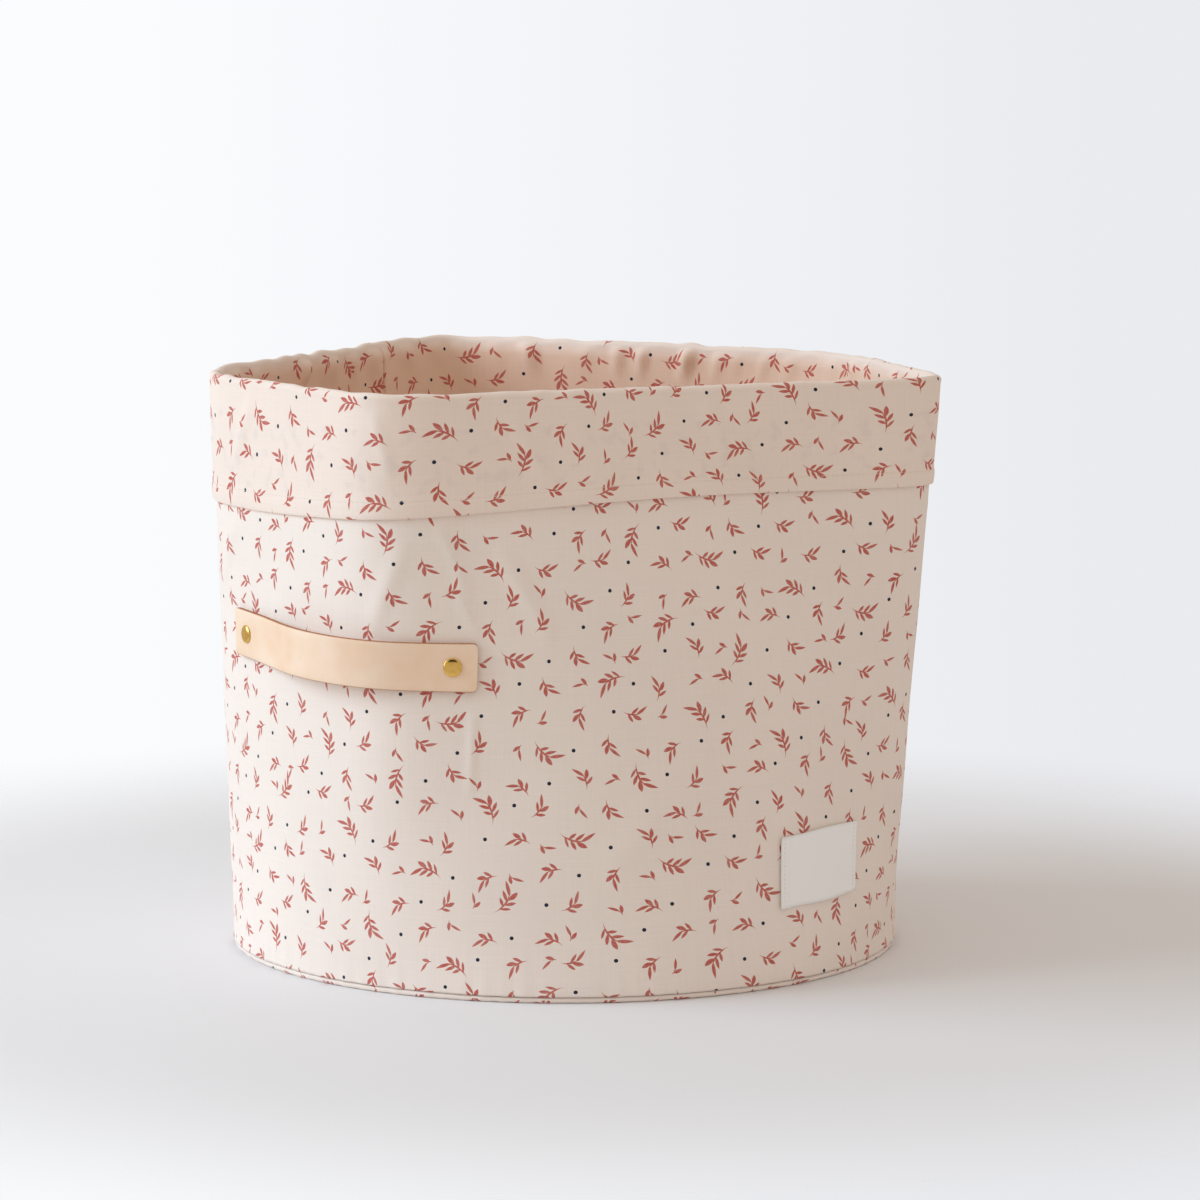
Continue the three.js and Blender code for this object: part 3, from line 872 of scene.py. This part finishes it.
def strapMesh(name, side):
    half, width = handle["length"] / 2, handle["width"] / 2
    corner, rounding, thick = handle["cornerRadius"], handle["edgeRound"], handle["thickness"]
    rings = [(along, width, 0.0) for along in np.linspace(-(half - corner), half - corner, 111)]
    tip = []
    for degrees in (18, 36, 54, 70, 82):
        t = math.radians(degrees)
        tip.append((half - corner + corner * math.sin(t), width - corner + corner * math.cos(t), 0.0))
    tip.append((half - rounding * 0.25, width - corner + 0.0001, rounding * 0.35))
    tip.append((half, width - corner - rounding * 0.2, rounding))
    rings += tip
    rings = [(-along, w, inset) for along, w, inset in reversed(tip)] + rings
    outline, raw = [], []
    for direction in (1, -1):  # round the cross-section: outer face, edge, inner face, edge
        for share in np.linspace(direction, -direction, 10):
            outline.append((share, 0.0, 1.0))
            raw.append(0.0)
        outline.append((-direction, 0.7, 0.7))
        raw.append(0.85)
        outline.append((-direction, 1.0, 0.0))
        raw.append(1.0)
        outline.append((-direction, 1.0, -1.0))
        raw.append(1.0)
        outline.append((-direction, 0.7, -1.7))
        raw.append(0.85)
    points, wear = [], []
    rivetAlong = half - handle["rivetInset"]
    startAngle = math.radians(side["centre"])
    for ringIndex, (along, w, inset) in enumerate(rings):
        angle = walkAlongWall(startAngle, along, np.float64(handle["height"]))
        bow = 0.00025 * math.sin(along * 61 + 1.3)  # the strap was cut by hand
        for k, (share, edgeOut, drop) in enumerate(outline):
            direction = 1 if k < len(outline) / 2 else -1
            inner = w - rounding
            up = share * inner + edgeOut * rounding * math.copysign(1, share)
            level = thick / 2 - inset
            if edgeOut:
                depth = {0.7: level - 0.3 * rounding, 0.0: level - rounding,
                         -1.0: -level + rounding, -1.7: -level + 0.3 * rounding}[drop]
                out = direction * depth
            else:
                out = direction * level
            gap = math.hypot(abs(along) - rivetAlong, up)
            dent = handle["dent"] * math.exp(-((gap / handle["dentReach"]) ** 2)) if direction > 0 else 0
            standOff = handleStandOff(side, along) + thick / 2 + out - dent
            points.append(onWall(angle, np.float64(handleLevel(along) + up + bow), np.float64(standOff)))
            capped = ringIndex in (0, 1, len(rings) - 2, len(rings) - 1)
            wear.append(1.0 if capped else raw[k])
    count = len(outline)
    faces = []
    for i in range(len(rings) - 1):
        for k in range(count):
            faces.append((i * count + k, (i + 1) * count + k,
                          (i + 1) * count + (k + 1) % count, i * count + (k + 1) % count))
    faces.append(tuple(range(count)))
    faces.append(tuple(reversed(range((len(rings) - 1) * count, len(rings) * count))))
    mesh = bpy.data.meshes.new(name)
    mesh.from_pydata([tuple(p) for p in points], [], faces)
    attribute = mesh.attributes.new("rawEdge", "FLOAT", "POINT")
    attribute.data.foreach_set("value", wear)
    return faceOut(mesh)


straps = {}
for name, side in handleSides.items():
    strapName = f"{name}_leather_strap"
    straps[name] = toPiece(strapName, strapMesh(strapName, side), vegetableLeather)
print("straps made")


# Rivets, washers and stitches are placed with Geometry Nodes

def socketId(group, name):
    return next(item.identifier for item in group.interface.items_tree
                if item.item_type == "SOCKET" and item.in_out == "INPUT" and item.name == name)


def runNodes(name, guide, group, values):
    piece = toPiece(name, guide)
    modifier = piece.modifiers.new("nodes", "NODES")
    modifier.node_group = group
    for socketName, value in values.items():
        modifier[socketId(group, socketName)] = value
    return settle(piece)


def guideMesh(name, points, facings, edges=()):
    mesh = bpy.data.meshes.new(name)
    mesh.from_pydata([tuple(p) for p in points], list(edges), [])
    attribute = mesh.attributes.new("facing", "FLOAT_VECTOR", "POINT")
    attribute.data.foreach_set("vector", np.asarray(facings, np.float32).reshape(-1))
    return mesh


# A domed cap with a short rim and a post below it, one at each guide point
def makeCapNodes():
    group = newGroup("domed cap", "GeometryNodeTree",
                     [("Geometry", "NodeSocketGeometry"), ("Radius", "NodeSocketFloat"),
                      ("Dome", "NodeSocketFloat"), ("Rim", "NodeSocketFloat"),
                      ("Post Radius", "NodeSocketFloat"), ("Post Length", "NodeSocketFloat"),
                      ("Material", "NodeSocketMaterial")],
                     [("Geometry", "NodeSocketGeometry")])
    ins = addNode(group, "NodeGroupInput")
    ball = addNode(group, "GeometryNodeMeshUVSphere", {"Segments": 40, "Rings": 22, "Radius": 1.0})
    place = addNode(group, "GeometryNodeInputPosition")
    axes = addNode(group, "ShaderNodeSeparateXYZ", [place])
    x = addNode(group, "ShaderNodeMath", [axes.outputs[0], ins.outputs["Radius"]], operation="MULTIPLY")
    y = addNode(group, "ShaderNodeMath", [axes.outputs[1], ins.outputs["Radius"]], operation="MULTIPLY")
    upper = addNode(group, "ShaderNodeMath", [axes.outputs[2], -0.02], operation="GREATER_THAN")
    high = addNode(group, "ShaderNodeMath", [axes.outputs[2], 0.0], operation="MAXIMUM")
    dome = addNode(group, "ShaderNodeMath", [high, ins.outputs["Dome"]], operation="MULTIPLY")
    rim = addNode(group, "ShaderNodeMath", [upper, ins.outputs["Rim"], dome], operation="MULTIPLY_ADD")
    shaped = addNode(group, "ShaderNodeCombineXYZ", [x, y, rim])
    cap = addNode(group, "GeometryNodeSetPosition", {"Geometry": ball, "Position": shaped})
    post = addNode(group, "GeometryNodeMeshCylinder", {
        "Vertices": 16, "Radius": ins.outputs["Post Radius"], "Depth": ins.outputs["Post Length"],
    })
    halfDown = addNode(group, "ShaderNodeMath", [ins.outputs["Post Length"], -0.5], operation="MULTIPLY")
    down = addNode(group, "ShaderNodeCombineXYZ", [0.0, 0.0, halfDown])
    lowered = addNode(group, "GeometryNodeTransform", {"Geometry": post, "Translation": down})
    joined = addNode(group, "GeometryNodeJoinGeometry", [cap])
    group.links.new(lowered.outputs[0], joined.inputs[0])
    facing = addNode(group, "GeometryNodeInputNamedAttribute", {"Name": "facing"}, data_type="FLOAT_VECTOR")
    aligned = addNode(group, "FunctionNodeAlignRotationToVector", {"Vector": facing}, axis="Z")
    points = addNode(group, "GeometryNodeMeshToPoints", [ins.outputs["Geometry"]])
    placed = addNode(group, "GeometryNodeInstanceOnPoints", {
        "Points": points, "Instance": joined, "Rotation": aligned,
    })
    real = addNode(group, "GeometryNodeRealizeInstances", [placed])
    smooth = addNode(group, "GeometryNodeSetShadeSmooth", {"Geometry": real})
    coated = addNode(group, "GeometryNodeSetMaterial", {
        "Geometry": smooth, "Material": ins.outputs["Material"],
    })
    addNode(group, "NodeGroupOutput", [coated])
    return group


# A row of stitches along each guide line
def makeStitchNodes():
    group = newGroup("stitch row", "GeometryNodeTree",
                     [("Geometry", "NodeSocketGeometry"), ("Pitch", "NodeSocketFloat"),
                      ("Stitch", "NodeSocketFloat"), ("Thread", "NodeSocketFloat"),
                      ("Material", "NodeSocketMaterial")],
                     [("Geometry", "NodeSocketGeometry")])
    ins = addNode(group, "NodeGroupInput")
    line = addNode(group, "GeometryNodeMeshToCurve", [ins.outputs["Geometry"]])
    spaced = addNode(group, "GeometryNodeResampleCurve", {"Curve": line, "Length": ins.outputs["Pitch"]},
                     mode="LENGTH")
    bead = addNode(group, "GeometryNodeMeshUVSphere", {"Segments": 6, "Rings": 5, "Radius": 0.5})
    laid = addNode(group, "GeometryNodeTransform", {"Geometry": bead, "Rotation": (0, math.pi / 2, 0)})
    size = addNode(group, "ShaderNodeCombineXYZ", [ins.outputs["Stitch"], ins.outputs["Thread"],
                                                   ins.outputs["Thread"]])
    tangent = addNode(group, "GeometryNodeInputTangent")
    alongRow = addNode(group, "FunctionNodeAlignRotationToVector", {"Vector": tangent}, axis="X")
    facing = addNode(group, "GeometryNodeInputNamedAttribute", {"Name": "facing"}, data_type="FLOAT_VECTOR")
    upright = addNode(group, "FunctionNodeAlignRotationToVector", {"Rotation": alongRow, "Vector": facing},
                      axis="Z", pivot_axis="X")
    placed = addNode(group, "GeometryNodeInstanceOnPoints", {
        "Points": spaced, "Instance": laid, "Rotation": upright, "Scale": size,
    })
    real = addNode(group, "GeometryNodeRealizeInstances", [placed])
    smooth = addNode(group, "GeometryNodeSetShadeSmooth", {"Geometry": real})
    coated = addNode(group, "GeometryNodeSetMaterial", {
        "Geometry": smooth, "Material": ins.outputs["Material"],
    })
    addNode(group, "NodeGroupOutput", [coated])
    return group


capNodes = makeCapNodes()
stitchNodes = makeStitchNodes()

rivet = {"capRadius": 0.0051, "capDome": 0.00125, "capRim": 0.0005, "post": 0.002, "postLength": 0.0085,
         "backRadius": 0.005, "backDome": 0.0009, "backRim": 0.0006,
         "washerRadius": 0.008, "washerDome": 0.0002, "washerRim": 0.001,
         "washerAt": -0.0052, "backAt": -0.0064, "socket": 0.003}


def rivetGuide(name, out, inward):
    places = [wallPlan(np.float64(a), np.float64(z)) + wallFacing(np.float64(a), np.float64(z)) * out
              for a, z in rivetPlaces]
    facings = [wallFacing(np.float64(a), np.float64(z)) * (-1 if inward else 1) for a, z in rivetPlaces]
    return guideMesh(name, places, facings)


seat = handle["gap"] + handle["thickness"] - handle["dent"] + 0.0001
caps = runNodes("brass_rivet_caps", rivetGuide("brass_rivet_caps", seat, False), capNodes, {
    "Radius": rivet["capRadius"], "Dome": rivet["capDome"], "Rim": rivet["capRim"],
    "Post Radius": rivet["post"], "Post Length": rivet["postLength"], "Material": polishedBrass,
})
washerGuide = rivetGuide("leather_rivet_washers", rivet["washerAt"], True)
washers = runNodes("leather_rivet_washers", washerGuide, capNodes, {
    "Radius": rivet["washerRadius"], "Dome": rivet["washerDome"], "Rim": rivet["washerRim"],
    "Post Radius": rivet["socket"], "Post Length": 0.0002, "Material": vegetableLeather,
})
backs = runNodes("brass_rivet_backs", rivetGuide("brass_rivet_backs", rivet["backAt"], True), capNodes, {
    "Radius": rivet["backRadius"], "Dome": rivet["backDome"], "Rim": rivet["backRim"],
    "Post Radius": rivet["socket"], "Post Length": 0.0002, "Material": polishedBrass,
})

stitch = {"pitch": 0.0031, "length": 0.0023, "thread": 0.00032, "labelPitch": 0.0024, "labelLength": 0.0017}


def hemStitches():
    angles = np.radians(np.linspace(-180, 180, 720, endpoint=False))
    level = wall["height"] - cuff["mean"] + cuff["hemHeight"] - cuff["stitchBelowTop"]
    z = cuffLevel(angles, level + 0 * angles)
    points = onWall(angles, z, 0.0017 + cuffRelief(angles, z) + 0.00008)
    edges = [(i, (i + 1) % len(points)) for i in range(len(points))]
    return guideMesh("cuff_hem_stitches", points, wallNormal(angles, z), edges)


def labelStitches():
    points, facings, edges = [], [], []
    for end in (-1, 1):
        for i, h in enumerate(np.linspace(-0.018, 0.018, 15)):
            s = end * (label["width"] / 2 - label["seamInset"])
            angle, z = labelPlace(s, h)
            corner = label["cornerLift"] * (2 * abs(h) / label["tall"]) ** 4
            ripple = label["curl"] * label["seamInset"] / 0.02 * (0.5 + 0.5 * math.sin(s * 95 + h * 40 + 0.7))
            out = label["gap"] + label["thickness"] + label["foldedUp"] - label["pinch"]
            out += corner + ripple + 0.00008
            if i:
                edges.append((len(points) - 1, len(points)))
            points.append(onCloth(angle, z, np.float64(out)))
            facings.append(wallNormal(angle, z))
    return guideMesh("side_label_stitches", points, facings, edges)


hemRow = runNodes("cuff_hem_stitches", hemStitches(), stitchNodes, {
    "Pitch": stitch["pitch"], "Stitch": stitch["length"], "Thread": stitch["thread"],
    "Material": cottonThread,
})
labelRows = runNodes("side_label_stitches", labelStitches(), stitchNodes, {
    "Pitch": stitch["labelPitch"], "Stitch": stitch["labelLength"], "Thread": stitch["thread"],
    "Material": cottonThread,
})
print("rivets and stitches made")


# What rides on what, and what each piece stands for

for name in ("wall_stiffener", "base_board"):
    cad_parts[name].data.materials.clear()
    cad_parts[name].data.materials.append(fibreBoard)

rivetNames = [f"{side}_{end}_rivet" for side in ("left", "right") for end in ("rear", "front")]
stands = [
    (outerWall, "printed_cotton", ["outer_wall"]),
    (lining, "printed_cotton", ["lining_wall", "cuff"]),
    (outerBase, "printed_cotton", ["outer_base"]),
    (liningBase, "lining_cotton", ["lining_base"]),
    (baseRoll, "printed_cotton", ["base_seam_roll"]),
    (labelPiece, "label_cloth", ["side_label"]),
    (labelRows, "cotton_thread", ["side_label_left_stitching", "side_label_right_stitching"]),
    (hemRow, "cotton_thread", ["cuff_hem_stitching"]),
    (caps, "brass", [f"{name}_cap" for name in rivetNames]),
    (backs, "brass", [f"{name}_back" for name in rivetNames]),
    (washers, "vegetable_leather", [f"{name}_washer" for name in rivetNames]),
]
for piece, slotName, nodes in stands:
    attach(piece, "bin")
    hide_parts(*nodes)

# Each strap keeps its baked place and stands for the grip and both tabs of its side
strapBends = {"left": ((-0.180, 0, 0), (-0.198, 0, 0)), "right": ((0.171, 0, 0), (0.190, 0, 0))}
for name, (start, end) in strapBends.items():
    strap = straps[name]
    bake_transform(strap)
    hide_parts(*[f"{name}_strap_{part}" for part in ("grip", "rear_tab", "front_tab")])


# Studio

studio = {
    "keyAngle": -131, "keyDistance": 2.4, "keyHeight": 1.30, "keySize": 1.7, "keyPower": 53,
    "keyColour": "#D4EBFF", "fill": 0.64, "fillColour": "#FFF7EF",
    "floorReach": 1.9, "fadeFrom": 0.37, "fadeTo": 0.74, "brightSide": -137,
}


def makeFloor():
    turns, rings = 96, 24
    reaches = np.linspace(0, 1, rings) ** 1.5 * studio["floorReach"] + 0.0001
    angle, radial = np.meshgrid(np.linspace(0, 2 * math.pi, turns, endpoint=False), reaches, indexing="ij")
    points = np.stack([radial * np.sin(angle), -radial * np.cos(angle), 0 * radial], axis=-1)
    cut = points[..., :2]
    mesh = sheetMesh("studio_floor", points, np.concatenate([cut, cut[:1]]))
    material, tree, shader = newMaterial("painted studio floor")
    shader.inputs["Base Color"].default_value = sRgb("#EDEBEB")
    shader.inputs["Roughness"].default_value = 0.75
    place = addNode(tree, "ShaderNodeTexCoord").outputs["Object"]
    distance = addNode(tree, "ShaderNodeVectorMath", [place], operation="LENGTH")
    fade = addNode(tree, "ShaderNodeMapRange", {
        "Value": distance.outputs["Value"], "From Min": studio["fadeFrom"], "From Max": studio["fadeTo"],
    }, interpolation_type="SMOOTHSTEP")
    clear = addNode(tree, "ShaderNodeBsdfTransparent")
    mixed = addNode(tree, "ShaderNodeMixShader", [fade, shader, clear])
    tree.links.new(mixed.outputs[0], tree.nodes["Material Output"].inputs["Surface"])
    return toPiece("studio_floor", mesh, material)


# A pale dome far round the bin that glows though it is no lamp, with painted light: brighter on the key
# light's side. It shows, but lights nothing.
def makeDome():
    mesh = bpy.data.meshes.new("studio_dome")
    bm = bmesh.new()
    bmesh.ops.create_uvsphere(bm, u_segments=64, v_segments=32, radius=9.0)
    bmesh.ops.reverse_faces(bm, faces=bm.faces)
    bm.to_mesh(mesh)
    bm.free()
    mesh.shade_smooth()
    material, tree, shader = newMaterial("glowing studio dome, painted brighter on the key side")
    place = addNode(tree, "ShaderNodeTexCoord").outputs["Object"]
    towards = math.radians(studio["brightSide"])
    # painted light: the glow grows towards the key light's side
    lit = addNode(tree, "ShaderNodeVectorMath", [place, (math.sin(towards) / 9, -math.cos(towards) / 9, 0)],
                  operation="DOT_PRODUCT")
    share = addNode(tree, "ShaderNodeMapRange", {
        "Value": lit.outputs["Value"], "From Min": -0.13, "From Max": 0.11,
    })
    tint = addNode(tree, "ShaderNodeMix", {0: share, 6: sRgb("#EAEBEF"), 7: sRgb("#FBFCFE")},
                   data_type="RGBA")
    glow = addNode(tree, "ShaderNodeEmission", {"Color": tint.outputs[2], "Strength": 1.0})
    tree.links.new(glow.outputs[0], tree.nodes["Material Output"].inputs["Surface"])
    dome = toPiece("studio_dome", mesh, material)
    dome.visible_diffuse = False
    dome.visible_glossy = False
    dome.visible_transmission = False
    dome.visible_shadow = False
    return dome


# A dark card above the camera, seen only by polished metal, as the unlit end of a studio is
def makeDarkCard():
    away = Vector((math.sin(turn), -math.cos(turn), 0))
    across = Vector((math.cos(turn), math.sin(turn), 0))
    middle = away * 2.6 + Vector((0, 0, 1.9))
    corners = [middle + across * a + Vector((0, 0, 1)) * b - away * b * 0.3
               for a, b in ((-1.1, -0.75), (1.1, -0.75), (1.1, 0.75), (-1.1, 0.75))]
    mesh = bpy.data.meshes.new("studio_dark_card")
    mesh.from_pydata([tuple(c) for c in corners], [], [(0, 1, 2, 3)])
    material, tree, shader = newMaterial("dark studio card")
    shader.inputs["Base Color"].default_value = sRgb("#1B1815")
    card = toPiece("studio_dark_card", mesh, material)
    card.visible_camera = False
    card.visible_diffuse = False
    card.visible_shadow = False
    return card


makeFloor()
makeDome()
makeDarkCard()

keyData = bpy.data.lights.new("key", "AREA")
keyData.energy = studio["keyPower"]
keyData.color = sRgb(studio["keyColour"])[:3]
keyData.shape = "SQUARE"
keyData.size = studio["keySize"]
key = bpy.data.objects.new("key", keyData)
scene.collection.objects.link(key)
keyTurn = math.radians(studio["keyAngle"])
key.location = (
    studio["keyDistance"] * math.sin(keyTurn),
    -studio["keyDistance"] * math.cos(keyTurn),
    studio["keyHeight"],
)
key.rotation_euler = (Vector((0, 0, 0.18)) - key.location).to_track_quat("-Z", "Y").to_euler()

world = bpy.data.worlds.new("soft studio fill")
world.use_nodes = True
background = world.node_tree.nodes["Background"]
background.inputs["Color"].default_value = sRgb(studio["fillColour"])
background.inputs["Strength"].default_value = studio["fill"]
scene.world = world

print("scene made")
